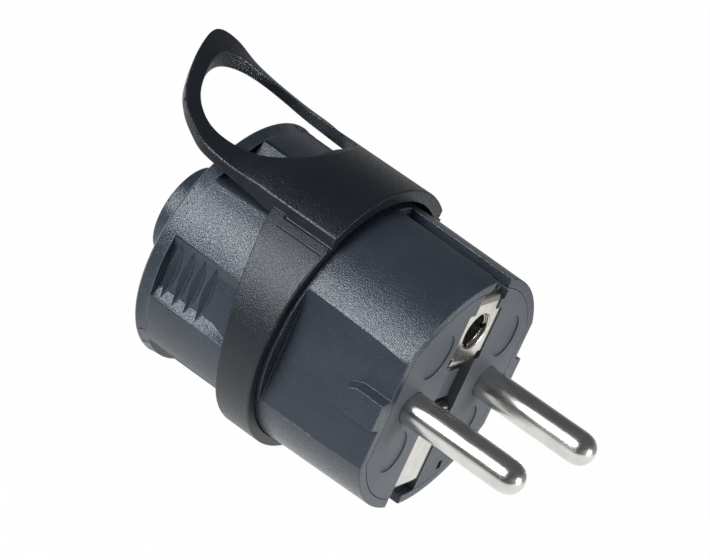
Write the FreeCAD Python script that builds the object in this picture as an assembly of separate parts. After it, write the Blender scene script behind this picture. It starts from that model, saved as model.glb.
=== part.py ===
import FreeCAD, Part
import math
import os

from FreeCAD import Vector

# Rewirable earthed plug with two round pins, an earth socket, side earth contacts and a pull handle.
# Frame: origin in the middle of the engagement face between the pins, +X to the neutral pin, +Y into
# the plug, +Z to the earth socket and the handle. Pins point along -Y. Millimetres.

# Running gaps
fit = 0.06
loose = 0.15
past = 1.0
far = 60.0

# Pins
pin_d = 4.8
pin_pitch = 19.0
pin_length = 19.0
pin_tip_flat = 0.3
pin_neck_r = 2.2
pin_neck_length = 0.5
pin_root_r = 2.65
pin_flange_r = 3.5
pin_flange_t = 1.0
pin_r = pin_d / 2
pin_x = pin_pitch / 2

# Contact carrier
seat_r = 16.7
seat_flat = 14.7
carrier_depth = 6.8
well_half = 3.2
well_top = 6.4
well_bottom = -3.1
well_depth = 5.6
bridge_front = 1.5
bridge_t = 2.8
bridge_top = 2.6
bridge_bottom = -1.9
mark_depth = 0.3
mark_length = 7.0
mark_width = 5.6
mark_places = [(-8.2, 7.7, 72), (9.3, 7.6, 108), (-8.7, -7.3, 108), (9.1, -7.4, 72)]
probe_x = 7.7
probe_z = -13.4
probe_wide = 1.0
probe_high = 1.4
probe_depth = 3.0

# Front housing, laid round the carrier
housing_wall = 1.5
housing_draft = 0.3
flat_wall = 1.45
flat_low = -8.7
flat_high_face = 8.0
flat_high_rear = 9.5
shoulder_length = 3.5
ledge_step = 0.9
guide_height = 1.83
guide_length = 7.0
guide_half_base = 2.45
guide_half_top = 2.0
guide_bury = 0.4
face_r = seat_r + housing_wall
shoulder_r = face_r + housing_draft
flat_half = seat_flat + flat_wall
ledge_r = seat_r - ledge_step
ledge_flat = seat_flat - ledge_step / 2

# Earth strip, one stamped piece that runs from one side groove over the face to the other
strip_t = 0.6
strip_half = 2.8
strip_sink = 0.2
strip_inset = 1.4
strip_bend = 0.9
strip_stop = 1.5
lower_half = 3.05
plate_half = 4.1
plate_low = 6.2
plate_high = 13.1
plate_hole_r = 2.72
plate_room_low = 5.0
dip_top = 3.6
dip_bottom = -2.75
dip_bend = 2.2
strip_level = seat_r - strip_inset
strip_back = strip_sink + strip_t

# Earth socket behind the hole of the strip, and its terminal block
socket_z = 10.0
socket_r = 2.4
sleeve_wall = 0.5
sleeve_length = 13.4
sleeve_slit = 0.7
sleeve_seat = 0.8
block_half = 3.1
block_length = 7.4
block_room = 0.2
sleeve_end = strip_back + sleeve_length
terminal_front = sleeve_end - sleeve_seat

# The housing is as long as the earth socket with its terminal block
housing_length = terminal_front + block_length + block_room
flat_length = housing_length - shoulder_length

# Side grooves, set off the middle by the same amount in opposite directions
groove_width = 3.4
groove_offset = 1.4
groove_leg_half = 1.6
channel_wall = 1.2
mouth_depth = 1.3
mouth_outline = [
    (-2.9, 14.7), (-2.9, 15.5), (-1.9, 16.2), (-1.0, 17.2), (-0.5, 19.5), (1.4, 19.5), (1.4, 16.1),
    (3.6, 16.1), (3.6, 14.7),
]
groove_end = flat_length + 0.1
channel_floor = strip_level - 1.3

# Terminals
wire_half = 2.0
wire_end_wall = 1.6
terminal_screw_r = 1.5
terminal_head_r = 2.4
terminal_head_t = 1.6
terminal_slot = 0.6
clamp_plate_t = 0.7
clamp_plate_length = 4.0
block_front = carrier_depth + pin_flange_t
screw_reach = block_length * 0.6

# Pin retainer
retainer_t = 1.8
retainer_inset = 0.3
retainer_screw_inset = 3.96
retainer_screw_turn = math.radians(42.46)
retainer_screw_r = 1.1
retainer_screw_length = 6.0
retainer_head_r = 2.0
retainer_head_t = 1.2
retainer_slot = 0.5
retainer_screw_x = (seat_r - retainer_screw_inset) * math.sin(retainer_screw_turn)
retainer_screw_z = (seat_r - retainer_screw_inset) * math.cos(retainer_screw_turn)
retainer_r = ledge_r - retainer_inset
retainer_flat = ledge_flat - retainer_inset
retainer_back = block_front + retainer_t

# Inserts and long screws
cover_screw_inset = 3.54
cover_screw_turn = math.radians(43.15)
cover_screw_r = 1.5
cover_head_r = 2.75
cover_head_t = 2.0
cover_head_sink = 0.4
drive_wide = 3.4
drive_slot = 0.8
screw_tip = 2.2
insert_r = 2.3
insert_length = 5.0
post_r = 2.9
web_half = 1.2
cover_screw_x = (seat_r - cover_screw_inset) * math.sin(cover_screw_turn)
cover_screw_z = (seat_r - cover_screw_inset) * math.cos(cover_screw_turn)

# Rear cover
cover_step = 0.1
cover_length = 17.0
rim_step = 0.12
rim_t = 2.2
rim_edge = 0.4
shelf_level = 13.05
rib_half = 5.0
lower_rib_r = 17.9
cover_wall = 1.7
cover_end_wall = 1.7
side_wall = 3.1
spigot_length = 1.6
spigot_wall = 1.5
spigot_half = 6.0
socket_wall = 1.2
boss_r = 7.0
boss_length = 7.2
boss_taper = 0.25
boss_mouth = 0.5
entry_r = 5.2
grip_half = 4.75
grip_depth = 1.4
grip_lead = 2.0
grip_rest = 0.05
scoop_count = 4
scoop_lead = 8.4
scoop_pitch = 2.05
scoop_width = 1.85
scoop_depth = 0.75
scoop_half = 4.4
cover_r = shoulder_r - cover_step
cover_end = housing_length + cover_length
rim_r = shoulder_r + rim_step
rim_end = cover_end + rim_t
boss_end = rim_end + boss_length
cavity_end = rim_end - cover_end_wall
grip_floor = cover_r - grip_depth
grip_start = housing_length + grip_lead
grip_end = cover_end - grip_rest

# Cord clamp and cable entry
grommet_bore = 4.0
grommet_flange_r = 6.4
grommet_flange_t = 1.6
grommet_lip = 0.6
clamp_lead = 10.5
clamp_half = 9.6
clamp_width = 6.0
clamp_t = 2.6
clamp_gap = 4.4
clamp_hump = 1.4
clamp_screw_inset = 2.2
clamp_screw_r = 1.25
clamp_screw_grip = 6.0
clamp_head_r = 2.1
clamp_head_t = 1.6
clamp_slot = 0.6
clamp_nut_half = 2.0
clamp_nut_t = 1.6
clamp_nut_top = -3.0
arm_low = -6.4
arm_t = 2.8
clamp_screw_x = clamp_half - clamp_screw_inset
clamp_y = housing_length + clamp_lead

# Grip collar with saddle and pull handle, one moulding
collar_lead = 0.6
collar_wall = 1.54
collar_narrow = 5.9
collar_full = 12.5
collar_flare = 0.0082
collar_flare_z = -9.0
saddle_rise = 0.96
saddle_wall = 1.9
saddle_half = 13.7
saddle_open_half = 12.0
undercut_depth = 0.45
undercut_width = 0.5
undercut_length = 8.1
parting_angle = 138.5
parting_start = 0.8
parting_length = 7.2
parting_width = 0.14
parting_depth = 0.12
collar_front = flat_length + collar_lead
collar_r = shoulder_r + collar_wall
saddle_r = collar_r + saddle_rise
saddle_inner_r = saddle_r - saddle_wall

# Strap of the handle at stations behind the collar's front edge: distance, drop of the crown below
# the saddle, half width and drop at the edge, thickness in the middle and at the edge.
strap_steps = 8
strap_margin = 1.5
strap_stations = [
    (0.0, 0.0, 14.3, 5.62, 1.9, 2.75),
    (5.9, 0.0, 14.3, 5.62, 1.9, 2.75),
    (11.9, 0.0, 14.3, 5.62, 1.9, 2.55),
    (14.9, 0.02, 14.0, 5.2, 1.98, 1.85),
    (17.9, 0.25, 14.2, 4.8, 2.5, 1.45),
    (20.9, 1.3, 14.58, 4.23, 2.5, 1.45),
    (23.9, 1.24, 14.11, 4.05, 2.16, 1.45),
    (26.9, 0.85, 12.85, 3.25, 1.45, 1.45),
    (29.9, 0.04, 11.04, 2.1, 1.36, 1.4),
    (31.9, -1.1, 9.21, 0.87, 1.8, 1.63),
    (33.2, -1.9, 7.6, -0.35, 2.5, 1.85),
    (34.5, -2.7, 5.0, -2.3, 2.8, 2.45),
    (36.5, -4.9, 4.0, -4.75, 3.0, 3.0),
]
strap_outline = [
    (13.62, 11.9), (13.9, 15.9), (14.4, 18.9), (14.58, 20.9), (14.11, 23.9), (13.27, 25.9), (12.35, 27.9),
    (11.1, 29.9), (9.3, 31.9), (7.98, 32.9), (6.31, 34.0), (3.79, 35.15), (0.0, 36.05),
]
hole_outline = [
    (0.0, 10.8), (4.6, 11.65), (8.17, 13.9), (9.95, 15.9), (11.4, 19.9), (11.54, 21.9), (11.36, 23.9),
    (10.83, 25.9), (9.84, 27.9), (8.25, 29.9), (5.6, 31.8), (3.06, 33.0), (0.0, 33.55),
]


def box(x0, x1, y0, y1, z0, z1):
    return Part.makeBox(x1 - x0, y1 - y0, z1 - z0, Vector(x0, y0, z0))


def rod_y(radius, y0, y1, x=0.0, z=0.0):
    return Part.makeCylinder(radius, y1 - y0, Vector(x, y0, z), Vector(0, 1, 0))


def rod_z(radius, z0, z1, x=0.0, y=0.0):
    return Part.makeCylinder(radius, z1 - z0, Vector(x, y, z0), Vector(0, 0, 1))


def cone_y(r0, r1, y0, y1, x=0.0, z=0.0):
    return Part.makeCone(r0, r1, y1 - y0, Vector(x, y0, z), Vector(0, 1, 0))


def flatted(solid, half):
    # Keep what lies between two side flats.
    return solid.common(box(-half, half, -far, far, -far, far))


def turned(solid):
    # The same form on the opposite side of the plug's axis.
    copy = solid.copy()
    copy.rotate(Vector(0, 0, 0), Vector(0, 1, 0), 180)
    return copy


def placed(solid, x, y, z):
    copy = solid.copy()
    copy.translate(Vector(x, y, z))
    return copy


def prism_x(points, x0, x1):
    # A solid from a closed outline in the YZ plane.
    corners = [Vector(x0, y, z) for y, z in points]
    face = Part.Face(Part.makePolygon(corners + corners[:1]))
    return face.extrude(Vector(x1 - x0, 0, 0))


def prism_y(points, y0, y1):
    # A solid from a closed outline in the XZ plane.
    corners = [Vector(x, y0, z) for x, z in points]
    face = Part.Face(Part.makePolygon(corners + corners[:1]))
    return face.extrude(Vector(0, y1 - y0, 0))


def corner_places(x, z):
    # The two places on opposite sides of the axis that a pair of screws or posts takes.
    return [(x, z), (-x, -z)]


def slotted_screw(shank_r, head_r, head_t, length, slot):
    # Head above zero, shank below, along Z.
    screw = rod_z(head_r, 0, head_t).fuse(rod_z(shank_r, -length, 0))
    return screw.cut(box(-head_r, head_r, -slot / 2, slot / 2, head_t * 0.55, head_t + past))


def bent_strip(points, radii, thickness, x0, x1):
    # Sheet metal that follows a line in the YZ plane, with a round bend at each inner point.
    half = thickness / 2
    route = [Vector(0, y, z) for y, z in points]
    edges = []
    ends = []
    for side in (1, -1):
        ahead = (route[1] - route[0]).normalize()
        pen = route[0] + Vector(0, -ahead.z, ahead.y) * (half * side)
        ends.append([pen])
        for before, here, after, radius in zip(route, route[1:], route[2:], radii):
            back = (here - before).normalize()
            ahead = (after - here).normalize()
            normal = Vector(0, -back.z, back.y)
            leaving = Vector(0, -ahead.z, ahead.y)
            turn = 1 if back.y * ahead.z - back.z * ahead.y > 0 else -1
            reach = radius * math.tan(back.getAngle(ahead) / 2)
            centre = here - back * reach + normal * (radius * turn)
            first = here - back * reach + normal * (half * side)
            middle = centre + (here - centre).normalize() * (radius - turn * side * half)
            last = here + ahead * reach + leaving * (half * side)
            edges.append(Part.LineSegment(pen, first).toShape())
            edges.append(Part.Arc(first, middle, last).toShape())
            pen = last
        stop = route[-1] + leaving * (half * side)
        edges.append(Part.LineSegment(pen, stop).toShape())
        ends[-1].append(stop)
    edges.append(Part.LineSegment(ends[0][0], ends[1][0]).toShape())
    edges.append(Part.LineSegment(ends[0][1], ends[1][1]).toShape())
    strip = Part.Face(Part.Wire(Part.__sortEdges__(edges))).extrude(Vector(x1 - x0, 0, 0))
    return placed(strip, x0, 0, 0)


def groove_box(y0, y1, inner, outer, margin=0.0):
    # The upper side groove or its channel, given by its height range.
    half = groove_width / 2 + margin
    return box(groove_offset - half, groove_offset + half, y0, y1, inner, outer)


def mark_pad(x, z, turn):
    # Shallow oval pad sunk into the face.
    curve = Part.Ellipse(Vector(0, 0, 0), mark_length / 2, mark_width / 2)
    pad = Part.Face(Part.Wire(curve.toShape())).extrude(Vector(0, 0, mark_depth * 2))
    pad.rotate(Vector(0, 0, 0), Vector(1, 0, 0), 90)
    pad.rotate(Vector(0, 0, 0), Vector(0, 1, 0), -turn)
    return placed(pad, x, mark_depth, z)


# Contact carrier: the disc that fills the front, with the centre well and the seats of all contacts
bend_back = strip_bend + strip_t
leg_floor = strip_level - strip_t / 2
carrier = flatted(rod_y(seat_r, 0, carrier_depth), seat_flat)
well = box(-well_half, well_half, -past, well_depth, well_bottom, well_top)
plate_room = box(-plate_half - fit, plate_half + fit, -past, bend_back, plate_room_low, plate_high + fit)
tab_room = box(-strip_half - fit, strip_half + fit, -past, strip_back, plate_high - past, seat_r + past)
bend_room = box(-strip_half - fit, strip_half + fit, -past, bend_back, strip_level - bend_back, seat_r + past)
lower_room = box(-lower_half - fit, lower_half + fit, -past, strip_back, -seat_r - past, well_bottom + fit)
lower_bend = box(-lower_half - fit, lower_half + fit, -past, bend_back, -seat_r - past, -strip_level + bend_back)
lower_lead = box(-lower_half - fit, lower_half + fit, -past, bend_back, dip_bottom - bend_back, well_bottom + fit)
carrier = carrier.cut([well, plate_room, tab_room, bend_room, lower_room, lower_bend, lower_lead])
bridge_back = bridge_front + bridge_t
carrier = carrier.fuse(box(-well_half, well_half, bridge_front, bridge_back, bridge_bottom, bridge_top))
slot = groove_box(-past, carrier_depth + past, leg_floor, seat_r + past)
mouth = prism_y(mouth_outline, -past, mouth_depth)
carrier = carrier.cut([slot, turned(slot), mouth])
for side in (-1, 1):
    root_room = rod_y(pin_root_r + fit, pin_neck_length, carrier_depth + past, x=side * pin_x)
    carrier = carrier.cut([rod_y(pin_r + fit, -past, carrier_depth, x=side * pin_x), root_room])
carrier = carrier.cut(rod_y(socket_r + sleeve_wall + fit, strip_sink, carrier_depth + past, z=socket_z))
carrier = carrier.cut(box(probe_x - probe_wide / 2, probe_x + probe_wide / 2, -past, probe_depth,
                          probe_z - probe_high / 2, probe_z + probe_high / 2))
carrier = carrier.cut([mark_pad(x, z, turn) for x, z, turn in mark_places])
insert_front = carrier_depth - insert_length
for x, z in corner_places(cover_screw_x, cover_screw_z):
    insert_room = rod_y(insert_r, insert_front, carrier_depth + past, x=x, z=z)
    tip_room = rod_y(cover_screw_r + loose, screw_tip - 2 * loose, carrier_depth, x=x, z=z)
    carrier = carrier.cut([insert_room, tip_room])
for x, z in corner_places(-retainer_screw_x, retainer_screw_z):
    pilot_front = retainer_back - retainer_screw_length - past
    carrier = carrier.cut(rod_y(retainer_screw_r, pilot_front, carrier_depth + past, x=x, z=z))

# Front housing: drafted tube with side flats, guide ribs, groove channels and screw posts
housing = cone_y(face_r, shoulder_r, 0, flat_length).fuse(rod_y(shoulder_r, flat_length, housing_length))
flat_side = [(-past, flat_low), (flat_length, flat_low), (flat_length, flat_high_rear), (-past, flat_high_face)]
for side in (-1, 1):
    housing = housing.cut(prism_x(flat_side, side * flat_half, side * (shoulder_r + past)))
housing = housing.removeSplitter()
front_opening = flatted(rod_y(seat_r + fit, -past, carrier_depth), seat_flat + fit)
inner_opening = flatted(rod_y(ledge_r, carrier_depth - past, housing_length + past), ledge_flat)
spigot_r = shoulder_r - socket_wall
spigot_front = housing_length - spigot_length
rear_socket = rod_y(spigot_r + fit, spigot_front, housing_length + past)
housing = housing.cut([front_opening, inner_opening, rear_socket])
channel_end = groove_end + channel_wall
channel = groove_box(carrier_depth, channel_end, channel_floor, seat_r, margin=channel_wall)
housing = housing.fuse([channel, turned(channel)])
for x, z in corner_places(cover_screw_x, cover_screw_z):
    post = rod_y(post_r, carrier_depth, housing_length, x=x, z=z)
    foot_z = math.copysign(ledge_r - loose, z)
    web = box(x - web_half, x + web_half, carrier_depth, housing_length, min(z, foot_z), max(z, foot_z))
    web = web.common(rod_y(spigot_r + housing_draft, 0, far))
    housing = housing.fuse([post, web])
    housing = housing.cut(rod_y(cover_screw_r + loose, carrier_depth - past, housing_length + past, x=x, z=z))
groove = groove_box(-past, groove_end, leg_floor, shoulder_r + past)
housing = housing.cut([groove, turned(groove), mouth])
for side in (-1, 1):
    ring = []
    for x, half, length in (
        (flat_half - guide_bury, guide_half_base, guide_length),
        (flat_half + guide_height, guide_half_top, guide_length - 0.5),
    ):
        points = [(0, -half), (length - half, -half), (length - half * 0.28, -half * 0.7), (length, 0),
                  (length - half * 0.28, half * 0.7), (length - half, half), (0, half), (0, -half)]
        ring.append(Part.makePolygon([Vector(side * x, y, z) for y, z in points]))
    housing = housing.fuse(Part.makeLoft(ring, True, True))
housing = housing.removeSplitter()

# Pins, each turned in one piece with its drilled terminal block
dome_y = -pin_length + pin_r
dome_lean = math.radians(46)
dome_middle = Vector(pin_r * math.sin(dome_lean), dome_y - pin_r * math.cos(dome_lean), 0)
steps = [
    (pin_r, dome_y), (pin_r, 0), (pin_neck_r, 0), (pin_neck_r, pin_neck_length), (pin_root_r, pin_neck_length),
    (pin_root_r, carrier_depth), (pin_flange_r, carrier_depth), (pin_flange_r, block_front), (0, block_front),
    (0, -pin_length), (pin_tip_flat, -pin_length),
]
steps = [Vector(x, y, 0) for x, y in steps]
dome = Part.Arc(steps[-1], dome_middle, steps[0]).toShape()
half_section = Part.Face(Part.Wire([dome] + Part.makePolygon(steps).Edges))
pin = half_section.revolve(Vector(0, 0, 0), Vector(0, 1, 0), 360)
terminal_block = box(-block_half, block_half, 0, block_length, -block_half, block_half)
wire_room = box(-wire_half, wire_half, wire_end_wall, block_length + past, -wire_half, wire_half)
screw_room = rod_z(terminal_screw_r + fit / 2, 0, block_half + past, y=screw_reach)
terminal_block = terminal_block.cut([wire_room, screw_room])
pin = pin.fuse(placed(terminal_block, 0, block_front, 0)).removeSplitter()
live_pin = placed(pin, -pin_x, 0, 0)
neutral_pin = placed(pin, pin_x, 0, 0)

# Earth strip: stamped, then bent through the well and into both grooves
dip_y = well_depth - strip_t / 2
face_y = strip_sink + strip_t / 2
strip_end = groove_end - strip_stop
strip_path = [
    (strip_end, strip_level), (face_y, strip_level), (face_y, dip_top), (dip_y, dip_top),
    (dip_y, dip_bottom), (face_y, dip_bottom), (face_y, -strip_level), (strip_end, -strip_level),
]
strip_radii = [strip_bend, dip_bend, strip_bend, strip_bend, strip_bend, strip_bend]
strip = bent_strip(strip_path, strip_radii, strip_t, -plate_half, plate_half)
leg = box(groove_offset - groove_leg_half, groove_offset + groove_leg_half, -past, far,
          leg_floor, strip_level + strip_t)
stamped = [
    leg,
    turned(leg),
    box(-strip_half, strip_half, -past, bend_back, plate_high - fit, strip_level + strip_t),
    box(-plate_half, plate_half, -past, bend_back, plate_low, plate_high),
    box(-well_half + loose, well_half - loose, -past, well_depth + past, dip_bottom - bend_back, plate_low + fit),
    box(-lower_half, lower_half, -past, bend_back, -strip_level - strip_t, dip_bottom - strip_t / 2),
]
strip = strip.common(stamped[0].fuse(stamped[1:]))
strip = strip.cut(rod_y(plate_hole_r, -past, bend_back, z=socket_z)).removeSplitter()

# Earth socket: slit spring sleeve behind the strip, with its terminal block on the rear end
sleeve = rod_y(socket_r + sleeve_wall, strip_back, sleeve_end, z=socket_z)
sleeve = sleeve.cut(rod_y(socket_r, strip_back - past, sleeve_end + past, z=socket_z))
slit_end = strip_back + sleeve_length * 0.6
slit_reach = socket_r + sleeve_wall + past
upright_slit = box(-sleeve_slit / 2, sleeve_slit / 2, 0, slit_end, socket_z - slit_reach, socket_z + slit_reach)
level_slit = box(-slit_reach, slit_reach, 0, slit_end, socket_z - sleeve_slit / 2, socket_z + sleeve_slit / 2)
earth_socket = sleeve.cut([upright_slit, level_slit])
flipped_block = turned(terminal_block).cut(rod_y(socket_r + sleeve_wall, -past, sleeve_seat))
earth_terminal = placed(flipped_block, 0, terminal_front, socket_z)

# Terminal screws and the pressure plates under them, the earth one upside down
terminal_screw = slotted_screw(
    terminal_screw_r, terminal_head_r, terminal_head_t, block_half + wire_half - clamp_plate_t, terminal_slot)
terminal_screw = placed(terminal_screw, 0, screw_reach, block_half)
pressure_plate = box(-wire_half + fit, wire_half - fit, screw_reach - clamp_plate_length / 2,
                     screw_reach + clamp_plate_length / 2, -wire_half, -wire_half + clamp_plate_t)


def at_terminals(solid):
    live = placed(solid, -pin_x, block_front, 0)
    neutral = placed(solid, pin_x, block_front, 0)
    earth = placed(turned(solid), 0, terminal_front, socket_z)
    return Part.makeCompound([live, neutral, earth])


terminal_screws = at_terminals(terminal_screw)
wire_clamps = at_terminals(pressure_plate)

# Pin retainer: plate behind the pin flanges, with the arm that carries the cord clamp
clamp_front = clamp_y - clamp_width / 2
clamp_back = clamp_y + clamp_width / 2
retainer = flatted(rod_y(retainer_r, block_front, retainer_back), retainer_flat)
arm = box(-clamp_half, clamp_half, block_front, clamp_back, arm_low, arm_low + arm_t)
pedestal = box(-clamp_half, clamp_half, clamp_front, clamp_back, arm_low, 0)
retainer = retainer.fuse([arm, pedestal])
retainer = retainer.cut(rod_y(clamp_gap, clamp_front - past, clamp_back + past))
plate_end = retainer_back + past
block_room_half = block_half + loose
for side in (-1, 1):
    x = side * pin_x
    retainer = retainer.cut(box(x - block_room_half, x + block_room_half, 0, plate_end,
                                -block_room_half, block_room_half))
for x, z in corner_places(cover_screw_x, cover_screw_z):
    z0, z1 = sorted((z, math.copysign(far, z)))
    web_room = box(x - web_half - loose, x + web_half + loose, 0, plate_end, z0, z1)
    retainer = retainer.cut([rod_y(post_r + loose, 0, plate_end, x=x, z=z), web_room])
for x, z in corner_places(-retainer_screw_x, retainer_screw_z):
    retainer = retainer.cut(rod_y(retainer_screw_r + fit, 0, plate_end, x=x, z=z))
channel_room = groove_box(0, plate_end, channel_floor - loose, far, margin=channel_wall + loose)
sleeve_room = rod_y(socket_r + sleeve_wall + loose, 0, plate_end, z=socket_z)
retainer = retainer.cut([sleeve_room, channel_room, turned(channel_room)])
nut_low = clamp_nut_top - clamp_nut_t
for side in (-1, 1):
    x = side * clamp_screw_x
    retainer = retainer.cut(rod_z(clamp_screw_r + fit, arm_low - past, past, x=x, y=clamp_y))
    retainer = retainer.cut(box(x - clamp_nut_half - fit, x + clamp_nut_half + fit,
                                clamp_y - clamp_nut_half - fit, clamp_back + past, nut_low - fit, clamp_nut_top))
retainer = retainer.removeSplitter()

small_screw = slotted_screw(
    retainer_screw_r, retainer_head_r, retainer_head_t, retainer_screw_length, retainer_slot)
small_screw.rotate(Vector(0, 0, 0), Vector(1, 0, 0), -90)
retainer_screws = Part.makeCompound([
    placed(small_screw, x, retainer_back, z) for x, z in corner_places(-retainer_screw_x, retainer_screw_z)
])

# Cord clamp: bar with an arched middle, two screws and two square nuts
hump_room = box(-far, far, 0, far, 0, far)
bar = box(-clamp_half, clamp_half, clamp_front, clamp_back, 0, clamp_t)
bar = bar.fuse(rod_y(clamp_gap + clamp_hump, clamp_front, clamp_back).common(hump_room))
bar = bar.cut(rod_y(clamp_gap, clamp_front - past, clamp_back + past))
cord_screw = slotted_screw(clamp_screw_r, clamp_head_r, clamp_head_t, clamp_t + clamp_screw_grip, clamp_slot)
square_nut = box(-clamp_nut_half, clamp_nut_half, -clamp_nut_half, clamp_nut_half, -clamp_nut_t, 0)
square_nut = square_nut.cut(rod_z(clamp_screw_r, -clamp_nut_t - past, past))
bar_screws = []
bar_nuts = []
for side in (-1, 1):
    x = side * clamp_screw_x
    bar = bar.cut(rod_z(clamp_screw_r + fit, -past, clamp_t + past, x=x, y=clamp_y))
    bar = bar.cut(rod_z(clamp_head_r + loose, clamp_t, far, x=x, y=clamp_y))
    bar_screws.append(placed(cord_screw, x, clamp_y, clamp_t))
    bar_nuts.append(placed(square_nut, x, clamp_y, clamp_nut_top))
bar = bar.removeSplitter()
cord_clamp_screws = Part.makeCompound(bar_screws)
cord_clamp_nuts = Part.makeCompound(bar_nuts)

# Threaded inserts in the carrier and the long screws from the rear
insert = rod_y(insert_r, insert_front, carrier_depth)
insert = insert.cut(rod_y(cover_screw_r, 0, carrier_depth + past))
head_front = rim_end - cover_head_t - cover_head_sink
head_end = head_front + cover_head_t
drive_floor = head_front + cover_head_t * 0.45
long_screw = rod_y(cover_screw_r, screw_tip, head_front).fuse(rod_y(cover_head_r, head_front, head_end))
for wide, high in ((drive_wide, drive_slot), (drive_slot, drive_wide)):
    long_screw = long_screw.cut(box(-wide / 2, wide / 2, drive_floor, rim_end, -high / 2, high / 2))
threaded_inserts = Part.makeCompound([
    placed(insert, x, 0, z) for x, z in corner_places(cover_screw_x, cover_screw_z)
])
cover_screws = Part.makeCompound([
    placed(long_screw, x, 0, z) for x, z in corner_places(cover_screw_x, cover_screw_z)
])

# Rear cover: drum with flat shelves, a rib above and below, scooped side grips, rim and cable boss
cover = rod_y(cover_r, housing_length, cover_end)
cover = cover.cut([
    box(-far, far, grip_start, cover_end, shelf_level, far),
    box(-far, far, grip_start, cover_end, -far, -shelf_level),
])
rib_box = box(-rib_half, rib_half, grip_start, cover_end, shelf_level - past, far)
upper_rib = rod_y(cover_r, housing_length, cover_end).common(rib_box)
lower_rib = turned(rod_y(lower_rib_r, housing_length, cover_end).common(rib_box))
rim = rod_y(rim_r, cover_end, rim_end - rim_edge)
rim = rim.fuse(cone_y(rim_r, rim_r - rim_edge, rim_end - rim_edge, rim_end))
boss = cone_y(boss_r + boss_taper, boss_r, rim_end - past, boss_end)
cover = cover.fuse([upper_rib, lower_rib, rim, boss]).removeSplitter()
grip_room = box(-far, far, grip_start, grip_end, -grip_half, grip_half)
wheel_r = (scoop_half ** 2 + scoop_depth ** 2) / (2 * scoop_depth)
for side in (-1, 1):
    x0, x1 = sorted((side * grip_floor, side * far))
    cover = cover.cut(box(x0, x1, grip_start, grip_end, -grip_half, grip_half))
    wheel_x = side * (grip_floor - scoop_depth + wheel_r)
    for index in range(scoop_count):
        middle = grip_start - grip_lead + scoop_lead + scoop_pitch * (index + 0.5)
        front = middle - scoop_width / 2
        back = middle + scoop_width / 2
        wheel = cone_y(wheel_r - scoop_depth, wheel_r, front, middle, x=wheel_x)
        wheel = wheel.fuse(cone_y(wheel_r, wheel_r - scoop_depth, middle, back, x=wheel_x))
        cover = cover.cut(wheel.common(grip_room))
cavity_half = cover_r - side_wall
cavity_level = shelf_level - cover_wall
cavity = rod_y(cover_r - cover_wall, housing_length - past, cavity_end)
cavity = cavity.common(box(-cavity_half, cavity_half, 0, far, -cavity_level, cavity_level))
cover = cover.cut(cavity)
spigot = rod_y(spigot_r, spigot_front, housing_length + spigot_wall)
spigot = spigot.cut(rod_y(spigot_r - spigot_wall, 0, far))
cover = cover.fuse(spigot.common(box(-far, far, 0, far, -spigot_half, spigot_half)))
for x, z in corner_places(cover_screw_x, cover_screw_z):
    cover = cover.fuse(rod_y(post_r, housing_length, cover_end, x=x, z=z))
    shaft_room = rod_y(cover_screw_r + loose, housing_length - past, rim_end + past, x=x, z=z)
    head_room = rod_y(cover_head_r + loose, head_front, rim_end + past, x=x, z=z)
    cover = cover.cut([shaft_room, head_room])
entry = rod_y(entry_r, cavity_end - past, boss_end + past)
mouth_cone = cone_y(entry_r, entry_r + boss_mouth, boss_end - boss_mouth, boss_end)
cover = cover.cut([entry, mouth_cone]).removeSplitter()

# Grommet: soft sleeve of the cable entry, with a flange inside the end wall
grommet = rod_y(grommet_flange_r, cavity_end - grommet_flange_t, cavity_end)
grommet = grommet.fuse(rod_y(entry_r, cavity_end, boss_end - grommet_lip))
grommet = grommet.cut(rod_y(grommet_bore, cavity_end - far, boss_end + past)).removeSplitter()


def rise(crown, edge_x, drop, x):
    # Height at x of the arch that falls by drop from its crown to its edge.
    radius = (edge_x ** 2 + drop ** 2) / (2 * drop)
    return crown - radius + math.sqrt(radius ** 2 - x ** 2)


def strap_row(station, lower):
    # Points across the handle at one station, from -X to +X.
    distance, crown_drop, edge_x, edge_drop, thick, edge_thick = station
    crown = saddle_r - crown_drop - (thick if lower else 0)
    edge = saddle_r - edge_drop - (edge_thick if lower else 0)
    half = edge_x + strap_margin
    xs = [half * step / strap_steps for step in range(-strap_steps, strap_steps + 1)]
    return [Vector(x, collar_front + distance, rise(crown, edge_x, crown - edge, x)) for x in xs]


def strap_skin(lower):
    # Smooth cubic face that the rows of all stations pull into shape.
    rows = [strap_row(station, lower) for station in strap_stations]
    knots = []
    mults = []
    for count in (len(rows), len(rows[0])):
        knots.append([float(value) for value in range(count - 2)])
        mults.append([4] + [1] * (count - 4) + [4])
    skin = Part.BSplineSurface()
    skin.buildFromPolesMultsKnots(rows, mults[0], mults[1], knots[0], knots[1], False, False, 3, 3)
    return skin.toShape()


def plan_curve(points, closed):
    # Smooth line in the XY plane through half an outline and its mirror image.
    half = [Vector(x, collar_front + y, 0) for x, y in points]
    other = [Vector(-point.x, point.y, 0) for point in reversed(half) if point.x > 0]
    curve = Part.BSplineCurve()
    curve.interpolate(half + other, closed)
    return curve.toShape()


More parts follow.
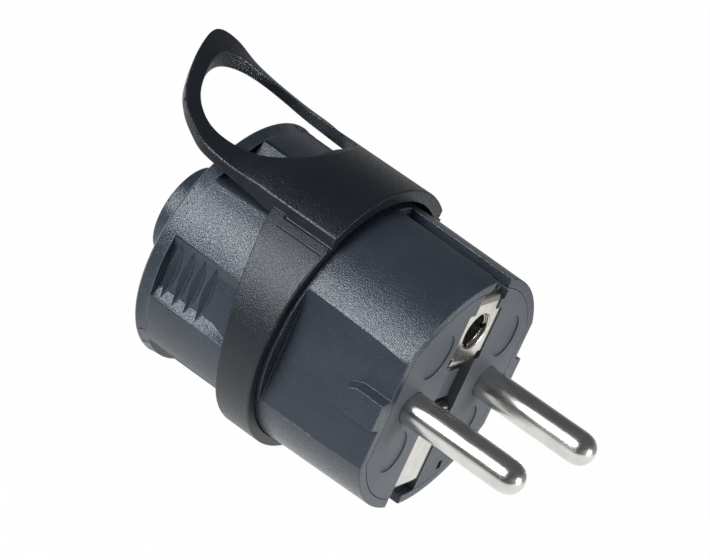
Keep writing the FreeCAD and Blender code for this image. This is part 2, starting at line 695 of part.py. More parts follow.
# Grip collar: band with a flared rear edge, saddle arch over it, and the looped strap
band_end = collar_front + collar_full
band = rod_y(collar_r, collar_front, band_end).cut(rod_y(shoulder_r, 0, far))
arch_gap = rod_y(saddle_inner_r, 0, far).common(box(-saddle_open_half, saddle_open_half, 0, far, 0, far))
rear_edge = []
flare_steps = 26
for step in range(flare_steps + 1):
    z = -collar_r - past + step * 2 * (collar_r + past) / flare_steps
    lift = max(z - collar_flare_z, 0)
    rear_edge.append((collar_front + collar_narrow + collar_flare * lift ** 2, z))
rear_edge += [(far, rear_edge[-1][1]), (far, rear_edge[0][1])]
band = band.cut([arch_gap, prism_x(rear_edge, -far, far)])
rim_line = plan_curve(strap_outline, False)
ends = [vertex.Point for vertex in rim_line.Vertexes]
front_corners = [Vector(end.x, collar_front, 0) for end in ends]
sides = [
    Part.LineSegment(front_corners[0], ends[0]).toShape(),
    Part.LineSegment(ends[1], front_corners[1]).toShape(),
    Part.LineSegment(front_corners[1], front_corners[0]).toShape(),
]
outline = Part.Wire(Part.__sortEdges__([rim_line] + sides))
plan = Part.Face(outline).extrude(Vector(0, 0, far))
hole = Part.Face(Part.Wire(plan_curve(hole_outline, True))).extrude(Vector(0, 0, far))
strap = plan.cut(hole)
strap = strap.common(strap_skin(False).extrude(Vector(0, 0, -far)))
strap = strap.common(strap_skin(True).extrude(Vector(0, 0, far)))
collar = band.fuse(strap)
foot_z = math.sqrt(collar_r ** 2 - saddle_half ** 2)
for side in (-1, 1):
    foot_x = side * (saddle_half + undercut_width / 2 - loose)
    collar = collar.cut(box(foot_x - undercut_width / 2, foot_x + undercut_width / 2,
                            collar_front - past, collar_front + undercut_length,
                            foot_z - undercut_depth, foot_z + loose))
parting = box(collar_r - parting_depth, collar_r + past, collar_front + parting_start,
              collar_front + parting_start + parting_length, -parting_width / 2, parting_width / 2)
parting.rotate(Vector(0, 0, 0), Vector(0, 1, 0), -parting_angle)
collar = collar.cut(parting).removeSplitter()

nodes = {
    "front_housing": housing,
    "contact_carrier": carrier,
    "live_pin": live_pin,
    "neutral_pin": neutral_pin,
    "earth_strip": strip,
    "earth_socket": earth_socket,
    "earth_terminal": earth_terminal,
    "pin_retainer": retainer,
    "retainer_screws": retainer_screws,
    "terminal_screws": terminal_screws,
    "wire_clamps": wire_clamps,
    "threaded_inserts": threaded_inserts,
    "rear_cover": cover,
    "cover_screws": cover_screws,
    "cord_clamp_bar": bar,
    "cord_clamp_screws": cord_clamp_screws,
    "cord_clamp_nuts": cord_clamp_nuts,
    "cord_grommet": grommet,
    "grip_collar": collar,
}
os.makedirs("parts", exist_ok=True)
for name, solid in nodes.items():
    solid.exportStep("parts/" + name + ".step")
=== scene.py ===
import math

import bmesh
import bpy
from mathutils import Matrix, Vector
from mathutils.geometry import intersect_point_line


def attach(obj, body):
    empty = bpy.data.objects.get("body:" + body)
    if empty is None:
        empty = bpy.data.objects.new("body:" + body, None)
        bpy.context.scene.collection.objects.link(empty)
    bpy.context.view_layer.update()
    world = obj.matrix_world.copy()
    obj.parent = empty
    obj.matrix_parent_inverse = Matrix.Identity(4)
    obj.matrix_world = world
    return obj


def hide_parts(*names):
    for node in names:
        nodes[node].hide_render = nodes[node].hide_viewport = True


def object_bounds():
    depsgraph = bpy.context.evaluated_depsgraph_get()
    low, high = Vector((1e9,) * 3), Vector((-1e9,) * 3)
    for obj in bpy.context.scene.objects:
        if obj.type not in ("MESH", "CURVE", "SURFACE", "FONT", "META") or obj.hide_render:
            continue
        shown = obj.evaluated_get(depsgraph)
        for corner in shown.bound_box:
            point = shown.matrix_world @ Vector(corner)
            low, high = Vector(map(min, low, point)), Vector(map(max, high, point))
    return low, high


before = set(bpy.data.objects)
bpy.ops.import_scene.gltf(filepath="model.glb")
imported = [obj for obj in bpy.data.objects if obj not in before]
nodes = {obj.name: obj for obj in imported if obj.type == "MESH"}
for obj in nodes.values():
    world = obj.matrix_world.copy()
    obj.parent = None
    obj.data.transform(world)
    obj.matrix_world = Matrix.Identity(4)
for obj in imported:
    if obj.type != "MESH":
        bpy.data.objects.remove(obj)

cad_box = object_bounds()
mm = 0.001


# Contact carrier: the round insert that fills the front of the plug and holds every contact. It is
# moulded in the same black thermoset as the body, with a drier grain, and is pressed in. Its colour is
# painted lighter than the body's, standing in for the light on the face.
# Painted light: this colour is set lighter than the body's black to stand in for the light falling on the
# face.
carrier_black_painted_lighter = (0.075, 0.083, 0.095)
carrier_edge = 0.06 * mm
sheen_tint = (0.88, 0.95, 1.0, 1.0)
cloud_size = 9 * mm
cloud_tone = 0.18
noise_low = 0.3
noise_high = 0.7
rough_spread = 0.07
# The corner mask set here lowers the roughness at the corners and also paints a highlight into their
# colour.
rubbed_and_highlight_radius = 0.22 * mm
rubbed_and_highlight_start = 0.99
rubbed_and_highlight_full = 0.8
rubbed_shine = 0.7
merge_play = 0.001 * mm
flat_angle = math.radians(0.4)
crease = math.radians(20)
straight = math.radians(150)
reach = 0.6
least_room = 0.07 * mm
narrow_part = 0.25


def moulded_plastic(name, black, rough, grain, depth, painted_edge_highlight):
    # Black moulded plastic: spark-eroded grain, cloudy colour, corners rubbed a little smoother, and a
    # painted highlight that brightens the colour along the corners.
    plastic = bpy.data.materials.new(name)
    plastic.use_nodes = True
    parts = plastic.node_tree.nodes
    links = plastic.node_tree.links
    parts.clear()
    out = parts.new("ShaderNodeOutputMaterial")
    skin = parts.new("ShaderNodeBsdfPrincipled")
    skin.inputs["Specular Tint"].default_value = sheen_tint
    place = parts.new("ShaderNodeTexCoord")

    clouds = parts.new("ShaderNodeTexNoise")
    clouds.inputs["Scale"].default_value = 1 / cloud_size
    clouds.inputs["Detail"].default_value = 4.0
    tint = parts.new("ShaderNodeValToRGB")
    tint.color_ramp.elements[0].position = noise_low
    tint.color_ramp.elements[0].color = (*[(1 - cloud_tone) * part for part in black], 1)
    tint.color_ramp.elements[1].position = noise_high
    tint.color_ramp.elements[1].color = (*[(1 + cloud_tone) * part for part in black], 1)
    links.new(place.outputs["Object"], clouds.inputs["Vector"])
    links.new(clouds.outputs["Fac"], tint.inputs["Fac"])

    sparks = parts.new("ShaderNodeTexNoise")
    sparks.inputs["Scale"].default_value = 1 / grain
    sparks.inputs["Detail"].default_value = 2.0
    sparks.inputs["Roughness"].default_value = 0.65
    dents = parts.new("ShaderNodeBump")
    dents.inputs["Strength"].default_value = 1.0
    dents.inputs["Distance"].default_value = depth
    links.new(place.outputs["Object"], sparks.inputs["Vector"])
    links.new(sparks.outputs["Fac"], dents.inputs["Height"])
    links.new(dents.outputs["Normal"], skin.inputs["Normal"])

    dull = parts.new("ShaderNodeMapRange")
    dull.inputs["From Min"].default_value = noise_low
    dull.inputs["From Max"].default_value = noise_high
    dull.inputs["To Min"].default_value = rough - rough_spread
    dull.inputs["To Max"].default_value = rough + rough_spread
    links.new(sparks.outputs["Fac"], dull.inputs["Value"])

    # Corner mask from the rounded normal: it makes the corners smoother (rubbed) and drives the painted
    # edge highlight.
    rounded = parts.new("ShaderNodeBevel")
    rounded.samples = 4
    rounded.inputs["Radius"].default_value = rubbed_and_highlight_radius
    flat = parts.new("ShaderNodeNewGeometry")
    lean = parts.new("ShaderNodeVectorMath")
    lean.operation = "DOT_PRODUCT"
    corner = parts.new("ShaderNodeMapRange")
    corner.inputs["From Min"].default_value = rubbed_and_highlight_start
    corner.inputs["From Max"].default_value = rubbed_and_highlight_full
    links.new(rounded.outputs["Normal"], lean.inputs[0])
    links.new(flat.outputs["Normal"], lean.inputs[1])
    links.new(lean.outputs["Value"], corner.inputs["Value"])
    # Painted highlight: along the corners the base colour is brightened, standing in for the light that
    # the rounded edges catch.
    edge_highlight_paint = parts.new("ShaderNodeMix")
    edge_highlight_paint.data_type = "RGBA"
    edge_highlight_paint.inputs["B"].default_value = (*[painted_edge_highlight * part for part in black], 1)
    links.new(corner.outputs["Result"], edge_highlight_paint.inputs["Factor"])
    links.new(tint.outputs["Color"], edge_highlight_paint.inputs["A"])
    links.new(edge_highlight_paint.outputs["Result"], skin.inputs["Base Color"])
    polished = parts.new("ShaderNodeMapRange")
    polished.inputs["To Max"].default_value = rough * rubbed_shine
    links.new(corner.outputs["Result"], polished.inputs["Value"])
    links.new(dull.outputs["Result"], polished.inputs["To Min"])
    links.new(polished.outputs["Result"], skin.inputs["Roughness"])
    links.new(skin.outputs["BSDF"], out.inputs["Surface"])
    return plastic


def whole_faces(node):
    # A copy of a solid, with its loose triangles joined into whole faces.
    form = bmesh.new()
    form.from_mesh(nodes[node].data)
    bmesh.ops.remove_doubles(form, verts=form.verts, dist=merge_play)
    bmesh.ops.dissolve_limit(form, angle_limit=flat_angle, verts=form.verts, edges=form.edges)
    for edge in form.edges:
        edge.tag = False
    return form


def free_width(edge):
    # How far a rounding can reach beside an edge before it meets the next edge of the same face.
    middle = (edge.verts[0].co + edge.verts[1].co) / 2
    room = math.inf
    for face in edge.link_faces:
        for other in face.edges:
            shared = set(other.verts) & set(edge.verts)
            if other is edge:
                continue
            if shared:
                corner = shared.pop()
                ahead = other.other_vert(corner).co - corner.co
                back = edge.other_vert(corner).co - corner.co
                if ahead.angle(back) < straight:
                    room = min(room, ahead.length)
                continue
            near, share = intersect_point_line(middle, other.verts[0].co, other.verts[1].co)
            if share < 0:
                near = other.verts[0].co
            if share > 1:
                near = other.verts[1].co
            room = min(room, (near - middle).length)
    return room


def edge_lines(sharp):
    # Sorts the sharp edges into lines, each a row of edges that run on without a corner.
    waiting = set(sharp)
    lines = []
    while waiting:
        line = [waiting.pop()]
        for edge in line:
            for corner in edge.verts:
                back = edge.other_vert(corner).co - corner.co
                for other in corner.link_edges:
                    ahead = other.other_vert(corner).co - corner.co
                    if other in waiting and ahead.angle(back) > straight:
                        waiting.remove(other)
                        line.append(other)
        lines.append(line)
    return lines


def mark_edges(form, width):
    # Gives each line of sharp edges one share of the full radius, less where its faces are narrow. Lines
    # with hardly any room and tagged edges stay sharp.
    shares = form.edges.layers.float.new("bevel_weight_edge")
    sharp = [edge for edge in form.edges if edge.is_manifold and edge.calc_face_angle() > crease]
    for edge in sharp:
        edge.smooth = not edge.tag
    for line in edge_lines([edge for edge in sharp if not edge.tag]):
        rooms = sorted(free_width(edge) for edge in line)
        room = rooms[int(narrow_part * len(rooms))]
        for edge in line:
            if room > least_room:
                edge[shares] = min(1.0, reach * room / width)
            else:
                edge.smooth = False


def break_edges(piece, width, steps):
    # Every moulded or stamped corner has a small radius, and broad faces keep their own normals.
    radius = piece.modifiers.new("radius", "BEVEL")
    radius.width = width
    radius.segments = steps
    radius.limit_method = "WEIGHT"
    radius.use_clamp_overlap = False
    radius.miter_outer = "MITER_ARC"
    true_faces = piece.modifiers.new("true_faces", "WEIGHTED_NORMAL")
    true_faces.mode = "FACE_AREA"
    true_faces.weight = 50
    true_faces.keep_sharp = True


def finish_piece(name, form, finish, stands_for, width, steps=2):
    # Makes the object of a finished form, which takes the place of its solid on the plug.
    for face in form.faces:
        face.smooth = True
    mark_edges(form, width)
    data = bpy.data.meshes.new(name)
    form.to_mesh(data)
    form.free()
    data.materials.append(finish)
    piece = bpy.data.objects.new(name, data)
    bpy.context.scene.collection.objects.link(piece)
    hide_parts(stands_for)
    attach(piece, "root")
    break_edges(piece, width, steps)


carrier_plastic = moulded_plastic(
    "carrier_plastic", carrier_black_painted_lighter, rough=0.52, grain=0.2 * mm, depth=0.06 * mm, painted_edge_highlight=2.4)
finish_piece(
    "carrier_face", whole_faces("contact_carrier"), carrier_plastic,
    "contact_carrier", carrier_edge)


# Front housing: drafted black tube with two side flats, guide ribs and the two earth grooves. It is
# moulded with a spark-eroded skin and slides over the carrier up to its face.
body_black = (0.027, 0.035, 0.048)
body_edge = 0.14 * mm
body_plastic = moulded_plastic(
    "body_plastic", body_black, rough=0.24, grain=0.21 * mm, depth=0.07 * mm, painted_edge_highlight=3.6)
finish_piece(
    "front_shell", whole_faces("front_housing"), body_plastic, "front_housing", body_edge)


# Pins: two round contacts of 4.8 mm, turned from brass rod and nickel plated. Each has a domed end and
# grows into its terminal block behind the carrier.
pin_r = 2.4
pin_length = 19.0
pin_x = 9.5
pin_dome_steps = 10
pin_dome_r = 2.36
pin_shoulder = 0.05
pin_root = [
    (pin_r, 0.0), (pin_r, 0.48), (2.2, 0.5), (2.65, 0.52), (2.65, 6.8), (3.5, 6.8), (3.5, 7.8), (0, 7.8),
]
pin_edge = 0.03 * mm
nickel_white = (0.74, 0.725, 0.7)
nickel_dull = (0.66, 0.645, 0.62)
plating_cloud = 3 * mm
plating_low = 0.35
plating_high = 0.6
plating_smooth = 0.8
plating_coarse = 1.25
turned_sides = 96


def plated_metal(name, light, dark, rough, marks, depth, along):
    # Plated metal with faint tool marks that run one way, and a slightly cloudy plating.
    metal = bpy.data.materials.new(name)
    metal.use_nodes = True
    parts = metal.node_tree.nodes
    links = metal.node_tree.links
    parts.clear()
    out = parts.new("ShaderNodeOutputMaterial")
    skin = parts.new("ShaderNodeBsdfPrincipled")
    skin.inputs["Metallic"].default_value = 1.0
    place = parts.new("ShaderNodeTexCoord")
    drawn = parts.new("ShaderNodeMapping")
    drawn.vector_type = "POINT"
    drawn.inputs["Scale"].default_value = along
    scratches = parts.new("ShaderNodeTexNoise")
    scratches.inputs["Scale"].default_value = 1 / marks
    scratches.inputs["Detail"].default_value = 3.0
    clouds = parts.new("ShaderNodeTexNoise")
    clouds.inputs["Scale"].default_value = 1 / plating_cloud
    clouds.inputs["Detail"].default_value = 3.0
    tint = parts.new("ShaderNodeValToRGB")
    tint.color_ramp.elements[0].position = plating_low
    tint.color_ramp.elements[0].color = (*dark, 1)
    tint.color_ramp.elements[1].position = plating_high
    tint.color_ramp.elements[1].color = (*light, 1)
    dull = parts.new("ShaderNodeMapRange")
    dull.inputs["From Min"].default_value = noise_low
    dull.inputs["From Max"].default_value = noise_high
    dull.inputs["To Min"].default_value = rough * plating_smooth
    dull.inputs["To Max"].default_value = rough * plating_coarse
    dents = parts.new("ShaderNodeBump")
    dents.inputs["Strength"].default_value = 1.0
    dents.inputs["Distance"].default_value = depth
    links.new(place.outputs["Object"], drawn.inputs["Vector"])
    links.new(place.outputs["Object"], clouds.inputs["Vector"])
    links.new(drawn.outputs["Vector"], scratches.inputs["Vector"])
    links.new(clouds.outputs["Fac"], tint.inputs["Fac"])
    links.new(tint.outputs["Color"], skin.inputs["Base Color"])
    links.new(scratches.outputs["Fac"], dull.inputs["Value"])
    links.new(dull.outputs["Result"], skin.inputs["Roughness"])
    links.new(scratches.outputs["Fac"], dents.inputs["Height"])
    links.new(dents.outputs["Normal"], skin.inputs["Normal"])
    links.new(skin.outputs["BSDF"], out.inputs["Surface"])
    return metal


def turned_form(steps, x=0.0):
    # A turned form from a row of radius and place steps along the plug, spun about its own axis.
    form = bmesh.new()
    row = [form.verts.new((radius * mm, y * mm, 0)) for radius, y in steps]
    edges = [form.edges.new(pair) for pair in zip(row, row[1:])]
    bmesh.ops.spin(
        form, geom=row + edges, cent=(0, 0, 0), axis=(0, 1, 0), dvec=(0, 0, 0), angle=math.tau,
        steps=turned_sides, use_merge=True, use_duplicate=False)
    bmesh.ops.remove_doubles(form, verts=form.verts, dist=merge_play)
    bmesh.ops.recalc_face_normals(form, faces=form.faces)
    bmesh.ops.translate(form, verts=form.verts, vec=(x * mm, 0, 0))
    for edge in form.edges:
        edge.tag = False
    return form


def pin_steps():
    # Half outline of a pin: its dome, the shank, a fine groove at the face and the flange behind it.
    dome_y = -pin_length + pin_r
    steps = []
    for step in range(pin_dome_steps + 1):
        turn = math.radians(90 * step / pin_dome_steps)
        steps.append((pin_dome_r * math.sin(turn), dome_y - pin_r * math.cos(turn)))
    return steps + [(pin_r, dome_y + pin_shoulder)] + pin_root


nickel = plated_metal(
    "nickel", nickel_white, nickel_dull, rough=0.22, marks=0.14 * mm, depth=0.0003 * mm,
    along=(1, 0.04, 1))
for name, side in (("live_pin", -1), ("neutral_pin", 1)):
    form = turned_form(pin_steps(), x=side * pin_x)
    finish_piece(name + "_turned", form, nickel, name, pin_edge)


# Earth strip: one stamped and bent strip of plated bronze. It lies flush in the face around the earth
# hole, whose mouth the punch rounds, dips through the well and ends in the two side grooves.
earth_white = (0.72, 0.705, 0.66)
earth_dull = (0.62, 0.6, 0.55)
strip_edge = 0.09 * mm
hole_z = 10.0
hole_r = 2.72
hole_play = 0.02 * mm
mouth_radius = 0.32
mouth_steps = 6
earth_metal = plated_metal(
    "earth_metal", earth_white, earth_dull, rough=0.23, marks=0.16 * mm, depth=0.004 * mm,
    along=(1, 1, 0.2))
form = whole_faces("earth_strip")
hole = {
    corner for corner in form.verts
    if abs(math.hypot(corner.co.x, corner.co.z - hole_z * mm) - hole_r * mm) < hole_play}
front = min(corner.co.y for corner in hole)
mouth = [
    edge for edge in form.edges
    if all(corner in hole and corner.co.y - front < hole_play for corner in edge.verts)]
bmesh.ops.bevel(
    form, geom=mouth, offset=mouth_radius * mm, offset_type="OFFSET", segments=mouth_steps,
    profile=0.5, affect="EDGES", material=-1)
finish_piece("earth_strip_bent", form, earth_metal, "earth_strip", strip_edge)


# Earth socket: slit spring sleeve behind the hole of the strip, rolled from the same plated bronze.
sleeve_edge = 0.05 * mm
finish_piece(
    "earth_sleeve", whole_faces("earth_socket"), earth_metal, "earth_socket", sleeve_edge)


# Earth terminal and threaded inserts: free-cutting brass, turned and drilled, left bare.
brass_bright = (0.78, 0.57, 0.27)
brass_dull = (0.6, 0.41, 0.18)


def give_material(names, finish):
    # Gives solids that keep their mesh a material.
    for name in names:
        nodes[name].data.materials.clear()
        nodes[name].data.materials.append(finish)


bare_brass = plated_metal(
    "bare_brass", brass_bright, brass_dull, rough=0.26, marks=0.2 * mm, depth=0.004 * mm,
    along=(1, 0.1, 1))
give_material(("earth_terminal", "threaded_inserts"), bare_brass)


# Pin retainer and cord clamp: stiff black plates and a bar inside the cover, moulded like the carrier.
inner_black = (0.06, 0.062, 0.066)
inner_plastic = moulded_plastic(
    "inner_plastic", inner_black, rough=0.5, grain=0.3 * mm, depth=0.05 * mm, painted_edge_highlight=1.4)
give_material(("pin_retainer", "cord_clamp_bar"), inner_plastic)


# Small screws, nuts and pressure plates inside: zinc plated steel.
zinc_bright = (0.62, 0.62, 0.6)
zinc_dull = (0.5, 0.5, 0.5)
zinc_steel = plated_metal(
    "zinc_steel", zinc_bright, zinc_dull, rough=0.32, marks=0.2 * mm, depth=0.005 * mm,
    along=(1, 0.3, 1))
zinc_pieces = (
    "retainer_screws", "terminal_screws", "wire_clamps", "cord_clamp_screws", "cord_clamp_nuts")
give_material(zinc_pieces, zinc_steel)


# Rear cover: black drum with flat shelves, ribs, scooped side grips, rim and the cable boss. It is
# moulded like the housing and pushed against it by the two long screws. The mould leaves the sides of
# the ribs and the ends of the grips sloped, and the drum flares into the rim without a step.
drum_r = 18.4
rim_front = 38.0
rim_back = 39.8
flare_start = 39.0
flare_r = 18.42
rib_side = 5.0
rib_foot = 8.6
shelf_height = 13.05
grip_front = 23.0
grip_back = 37.95
grip_half = 4.75
grip_bend = 3.1
grip_rise = 0.7
grip_deep = 15.9
grip_shallow = 17.4
grip_slope = 17.75
slope_angle = math.radians(0.1)
near = 0.02


def in_grip(corner, highest=grip_shallow):
    # Whether a corner belongs to a side grip. With grip_slope as the highest, its front slope counts too.
    place = corner.co / mm
    along = grip_front - near < place.y < grip_back + near
    across = abs(place.z) < grip_half + near
    return along and across and grip_deep < abs(place.x) < highest


def in_scoop(corner):
    # Whether a corner lies inside a side grip, and not on one of its long sides.
    return in_grip(corner) and abs(corner.co.z) < (grip_half - near) * mm


def on_rim(corner):
    # Whether a corner belongs to the rim, which stands out from the drum.
    radius = math.hypot(corner.co.x, corner.co.z)
    return radius > drum_r * mm and (rim_front - near) * mm < corner.co.y < (rim_back + near) * mm


def cut_faces(form, faces, place, way):
    # Cuts some faces of a form along a plane, and gives the new corners.
    chosen = set(faces)
    edges = [edge for edge in form.edges if any(face in chosen for face in edge.link_faces)]
    corners = [corner for corner in form.verts if any(face in chosen for face in corner.link_faces)]
    cut = bmesh.ops.bisect_plane(form, geom=corners + edges + faces, plane_co=place, plane_no=way)
    return [part for part in cut["geom_cut"] if isinstance(part, bmesh.types.BMVert)]


form = bmesh.new()
form.from_mesh(nodes["rear_cover"].data)
bmesh.ops.remove_doubles(form, verts=form.verts, dist=merge_play)
slopes = [edge for edge in form.edges if all(in_grip(corner, grip_slope) for corner in edge.verts)]
bmesh.ops.dissolve_limit(form, angle_limit=slope_angle, verts=[], edges=slopes)
for bend in (-grip_bend, grip_bend):
    faces = [face for face in form.faces if all(in_grip(corner, grip_slope) for corner in face.verts)]
    cut_faces(form, faces, (0, 0, bend * mm), (0, 0, 1))
rim_faces = [face for face in form.faces if all(on_rim(corner) for corner in face.verts)]
front_ring = {
    corner for face in rim_faces for corner in face.verts
    if abs(corner.co.y - rim_front * mm) < near * mm}
flare = cut_faces(form, rim_faces, (0, flare_start * mm, 0), (0, 1, 0))
for corner in flare + list(front_ring):
    turn = math.atan2(corner.co.z, corner.co.x)
    corner.co.x = flare_r * mm * math.cos(turn)
    corner.co.z = flare_r * mm * math.sin(turn)
for corner in form.verts:
    place = corner.co / mm
    if in_grip(corner) and abs(place.z) > grip_bend:
        rise = grip_rise * (abs(place.z) - grip_bend) / (grip_half - grip_bend)
        corner.co.x += math.copysign(rise * mm, place.x)
    if abs(abs(place.x) - rib_side) < near and abs(abs(place.z) - shelf_height) < near:
        corner.co.x = math.copysign(rib_foot * mm, place.x)
bmesh.ops.dissolve_limit(form, angle_limit=flat_angle, verts=form.verts, edges=form.edges)
for edge in form.edges:
    edge.tag = any(in_scoop(corner) for corner in edge.verts)
finish_piece("rear_shell", form, body_plastic, "rear_cover", body_edge)


# Long screws: zinc plated steel with a cross slot, sunk in the rear rim.
screw_edge = 0.12 * mm
finish_piece(
    "long_screws", whole_faces("cover_screws"), zinc_steel, "cover_screws", screw_edge)


# Grommet: soft black bush in the cable boss, pressed in from inside and held by its flange.
grommet_black = (0.05, 0.05, 0.052)
grommet_edge = 0.25 * mm
grommet_steps = [
    (4.0, 36.9), (6.4, 36.9), (6.4, 38.5), (5.2, 38.5), (5.2, 46.8), (4.0, 46.8), (4.0, 36.9),
]
soft_rubber = moulded_plastic(
    "soft_rubber", grommet_black, rough=0.62, grain=0.35 * mm, depth=0.04 * mm, painted_edge_highlight=1.3)
finish_piece(
    "entry_bush", turned_form(grommet_steps), soft_rubber, "cord_grommet", grommet_edge)


# Grip collar: band, saddle and looped pull handle in one smooth moulding that clips round the plug.
# Its tough plastic is darker than the body and worn smoother on top, and its edges are well rounded.
collar_black = (0.008, 0.0105, 0.0145)
collar_edge = 0.24 * mm
collar_edge_steps = 3
collar_sliver = 0.06 * mm
worn_from = 13.5 * mm
worn_to = 17.5 * mm
worn_shine = 0.74
grip_plastic = moulded_plastic(
    "grip_plastic", collar_black, rough=0.36, grain=0.21 * mm, depth=0.075 * mm, painted_edge_highlight=4.0)
grip_parts = grip_plastic.node_tree.nodes
grip_links = grip_plastic.node_tree.links
grip_skin = next(part for part in grip_parts if part.bl_idname == "ShaderNodeBsdfPrincipled")
grip_rough = grip_skin.inputs["Roughness"].links[0].from_socket
grip_place = grip_parts.new("ShaderNodeTexCoord")
grip_axes = grip_parts.new("ShaderNodeSeparateXYZ")
grip_worn = grip_parts.new("ShaderNodeMapRange")
grip_worn.inputs["From Min"].default_value = worn_from
grip_worn.inputs["From Max"].default_value = worn_to
grip_worn.inputs["To Min"].default_value = 1.0
grip_worn.inputs["To Max"].default_value = worn_shine
grip_share = grip_parts.new("ShaderNodeMath")
grip_share.operation = "MULTIPLY"
grip_links.new(grip_place.outputs["Object"], grip_axes.inputs["Vector"])
grip_links.new(grip_axes.outputs["Z"], grip_worn.inputs["Value"])
grip_links.new(grip_rough, grip_share.inputs[0])
grip_links.new(grip_worn.outputs["Result"], grip_share.inputs[1])
grip_links.new(grip_share.outputs["Value"], grip_skin.inputs["Roughness"])
form = whole_faces("grip_collar")
bmesh.ops.dissolve_degenerate(form, dist=collar_sliver, edges=form.edges)
finish_piece(
    "pull_handle", form, grip_plastic, "grip_collar", collar_edge, collar_edge_steps)


# Studio floor: a wide white sheet just under the plug. It shows white in the picture and in the metal.
# In reflections it falls into the dark of the room further out: to the left, which gives the pins a dark
# stripe, and to the right, which tones down the far side of the saddle.
floor_half = 3.0
floor_drop = 0.1 * mm
paper_grey = (0.85, 0.85, 0.85, 1)
paper_dark_x = -72 * mm
paper_white_x = -35 * mm
paper_dark = 0.07
paper_fade_x = 68 * mm
paper_faded_x = 105 * mm
paper_faded = 0.3
paper_shown = 0.985
floor_low = cad_box[0][2] - floor_drop
sheet = bmesh.new()
bmesh.ops.create_grid(sheet, x_segments=2, y_segments=2, size=floor_half)
bmesh.ops.translate(sheet, verts=sheet.verts, vec=(0, 0, floor_low))
sheet_data = bpy.data.meshes.new("floor")
sheet.to_mesh(sheet_data)
sheet.free()
floor = bpy.data.objects.new("floor", sheet_data)
bpy.context.scene.collection.objects.link(floor)

paper = bpy.data.materials.new("white_paper")
paper.use_nodes = True
paper_parts = paper.node_tree.nodes
paper_links = paper.node_tree.links
paper_parts.clear()
paper_out = paper_parts.new("ShaderNodeOutputMaterial")
paper_matte = paper_parts.new("ShaderNodeBsdfDiffuse")
paper_matte.inputs["Color"].default_value = paper_grey
paper_white = paper_parts.new("ShaderNodeEmission")
paper_white.inputs["Color"].default_value = (1, 1, 1, 1)
paper_ray = paper_parts.new("ShaderNodeLightPath")
paper_place = paper_parts.new("ShaderNodeTexCoord")
paper_axes = paper_parts.new("ShaderNodeSeparateXYZ")
paper_reach = paper_parts.new("ShaderNodeMapRange")
paper_reach.interpolation_type = "SMOOTHSTEP"
paper_reach.inputs["From Min"].default_value = paper_dark_x
paper_reach.inputs["From Max"].default_value = paper_white_x
paper_reach.inputs["To Min"].default_value = paper_dark
paper_reach.inputs["To Max"].default_value = 1.0
paper_right = paper_parts.new("ShaderNodeMapRange")
paper_right.interpolation_type = "SMOOTHSTEP"
paper_right.inputs["From Min"].default_value = paper_fade_x
paper_right.inputs["From Max"].default_value = paper_faded_x
paper_right.inputs["To Min"].default_value = 1.0
paper_right.inputs["To Max"].default_value = paper_faded
paper_sides = paper_parts.new("ShaderNodeMath")
paper_sides.operation = "MULTIPLY"
paper_mirror = paper_parts.new("ShaderNodeMath")
paper_mirror.operation = "MAXIMUM"
paper_share = paper_parts.new("ShaderNodeMath")
paper_share.operation = "MAXIMUM"
paper_level = paper_parts.new("ShaderNodeMath")
paper_level.operation = "MAXIMUM"
paper_keep = paper_parts.new("ShaderNodeMath")
paper_keep.operation = "MULTIPLY"
paper_keep.inputs[1].default_value = paper_shown
paper_mix = paper_parts.new("ShaderNodeMixShader")
paper_links.new(paper_place.outputs["Object"], paper_axes.inputs["Vector"])
paper_links.new(paper_axes.outputs["X"], paper_reach.inputs["Value"])
paper_links.new(paper_ray.outputs["Is Glossy Ray"], paper_mirror.inputs[0])
paper_links.new(paper_ray.outputs["Is Transmission Ray"], paper_mirror.inputs[1])
paper_links.new(paper_ray.outputs["Is Camera Ray"], paper_share.inputs[0])
paper_links.new(paper_mirror.outputs["Value"], paper_share.inputs[1])
paper_links.new(paper_ray.outputs["Is Camera Ray"], paper_level.inputs[0])
paper_links.new(paper_axes.outputs["X"], paper_right.inputs["Value"])
paper_links.new(paper_reach.outputs["Result"], paper_sides.inputs[0])
paper_links.new(paper_right.outputs["Result"], paper_sides.inputs[1])
paper_links.new(paper_sides.outputs["Value"], paper_level.inputs[1])
paper_links.new(paper_level.outputs["Value"], paper_white.inputs["Strength"])
paper_links.new(paper_share.outputs["Value"], paper_keep.inputs[0])
paper_links.new(paper_keep.outputs["Value"], paper_mix.inputs["Fac"])
paper_links.new(paper_matte.outputs["BSDF"], paper_mix.inputs[1])
paper_links.new(paper_white.outputs["Emission"], paper_mix.inputs[2])
paper_links.new(paper_mix.outputs["Shader"], paper_out.inputs["Surface"])
floor.data.materials.append(paper)


# Studio room: white behind the plug for the camera, otherwise pale near the horizon, dim overhead and
# dimmer on the left.
room_low = 0.38
room_high = 0.1
room_high_blue = 1.05
room_left = 0.3
room_left_from = -0.9
room_left_to = -0.55
room = bpy.data.worlds.new("studio")
room.use_nodes = True
bpy.context.scene.world = room
room_parts = room.node_tree.nodes
room_links = room.node_tree.links
room_parts.clear()
room_out = room_parts.new("ShaderNodeOutputWorld")
room_seen = room_parts.new("ShaderNodeBackground")
room_seen.inputs["Color"].default_value = (1, 1, 1, 1)
room_light = room_parts.new("ShaderNodeBackground")
room_way = room_parts.new("ShaderNodeTexCoord")
room_axes = room_parts.new("ShaderNodeSeparateXYZ")
room_fade = room_parts.new("ShaderNodeValToRGB")
room_fade.color_ramp.elements[0].position = 0.0
room_fade.color_ramp.elements[0].color = (room_low, room_low, room_low, 1)
room_fade.color_ramp.elements[1].position = 0.5
room_fade.color_ramp.elements[1].color = (room_high, room_high, room_high * room_high_blue, 1)
room_side = room_parts.new("ShaderNodeMapRange")
room_side.inputs["From Min"].default_value = room_left_from
room_side.inputs["From Max"].default_value = room_left_to
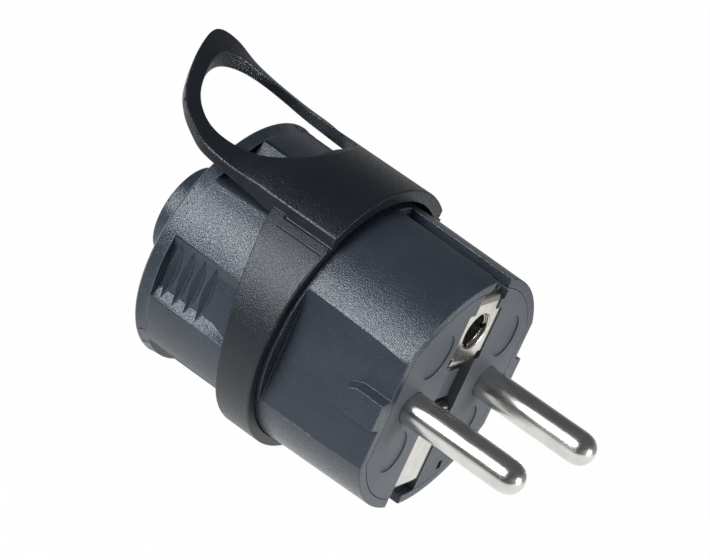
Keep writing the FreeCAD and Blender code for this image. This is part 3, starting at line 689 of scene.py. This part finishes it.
room_side.inputs["To Min"].default_value = room_left
room_side.inputs["To Max"].default_value = 1.0
room_ray = room_parts.new("ShaderNodeLightPath")
room_mix = room_parts.new("ShaderNodeMixShader")
room_links.new(room_way.outputs["Generated"], room_axes.inputs["Vector"])
room_links.new(room_axes.outputs["Z"], room_fade.inputs["Fac"])
room_links.new(room_axes.outputs["X"], room_side.inputs["Value"])
room_links.new(room_side.outputs["Result"], room_light.inputs["Strength"])
room_links.new(room_fade.outputs["Color"], room_light.inputs["Color"])
room_links.new(room_ray.outputs["Is Camera Ray"], room_mix.inputs["Fac"])
room_links.new(room_light.outputs["Background"], room_mix.inputs[1])
room_links.new(room_seen.outputs["Background"], room_mix.inputs[2])
room_links.new(room_mix.outputs["Shader"], room_out.inputs["Surface"])


# Lamps: a large soft box to the left of the plug and a little behind it gives the long highlights, a
# smaller one before it their bright core, and one in front fills the face. Each row gives the name, the
# way from the plug, the distance and the side in metres, and the power.
plug_middle = Vector((0, 5 * mm, 0))
lamps = (
    ("key_box", (-0.775, 0.388, 0.50), 1.0, 0.6, 6.0),
    ("key_core", (-0.82, 0.38, 0.40), 0.9, 0.3, 5.0),
    ("face_box", (0.12, -1.0, 0.14), 1.2, 0.3, 11.0),
)
for name, way, distance, size, power in lamps:
    lamp = bpy.data.lights.new(name, "AREA")
    lamp.shape = "SQUARE"
    lamp.size = size
    lamp.energy = power
    stand = bpy.data.objects.new(name, lamp)
    bpy.context.scene.collection.objects.link(stand)
    stand.location = plug_middle + Vector(way).normalized() * distance
    stand.rotation_euler = (plug_middle - stand.location).to_track_quat("-Z", "Y").to_euler()


# Camera: in front of the plug, to its left and above it, leaning so that the plug lies across the
# picture with its pins at the lower right.
camera_place = (-414.42, -174.19, 206.0)
camera_heading = 64.949
camera_dip = 23.613
camera_lean = -24.287
camera_lens = 187.24
camera_film = 36.0
camera_near = 0.01
camera_far = 20.0
camera_data = bpy.data.cameras.new("camera")
camera_data.lens = camera_lens
camera_data.sensor_width = camera_film
camera_data.clip_start = camera_near
camera_data.clip_end = camera_far
camera = bpy.data.objects.new("camera", camera_data)
bpy.context.scene.collection.objects.link(camera)
camera.location = Vector(camera_place) * mm
camera.rotation_mode = "QUATERNION"
heading = Vector((0, 0, 1))
level = Vector((1, 0, 0))
camera.rotation_quaternion = (
    Matrix.Rotation(math.radians(-camera_heading), 3, heading)
    @ Matrix.Rotation(math.radians(90 - camera_dip), 3, level)
    @ Matrix.Rotation(math.radians(-camera_lean), 3, heading)
).to_quaternion()
bpy.context.scene.camera = camera
bpy.context.scene.view_settings.view_transform = "Standard"
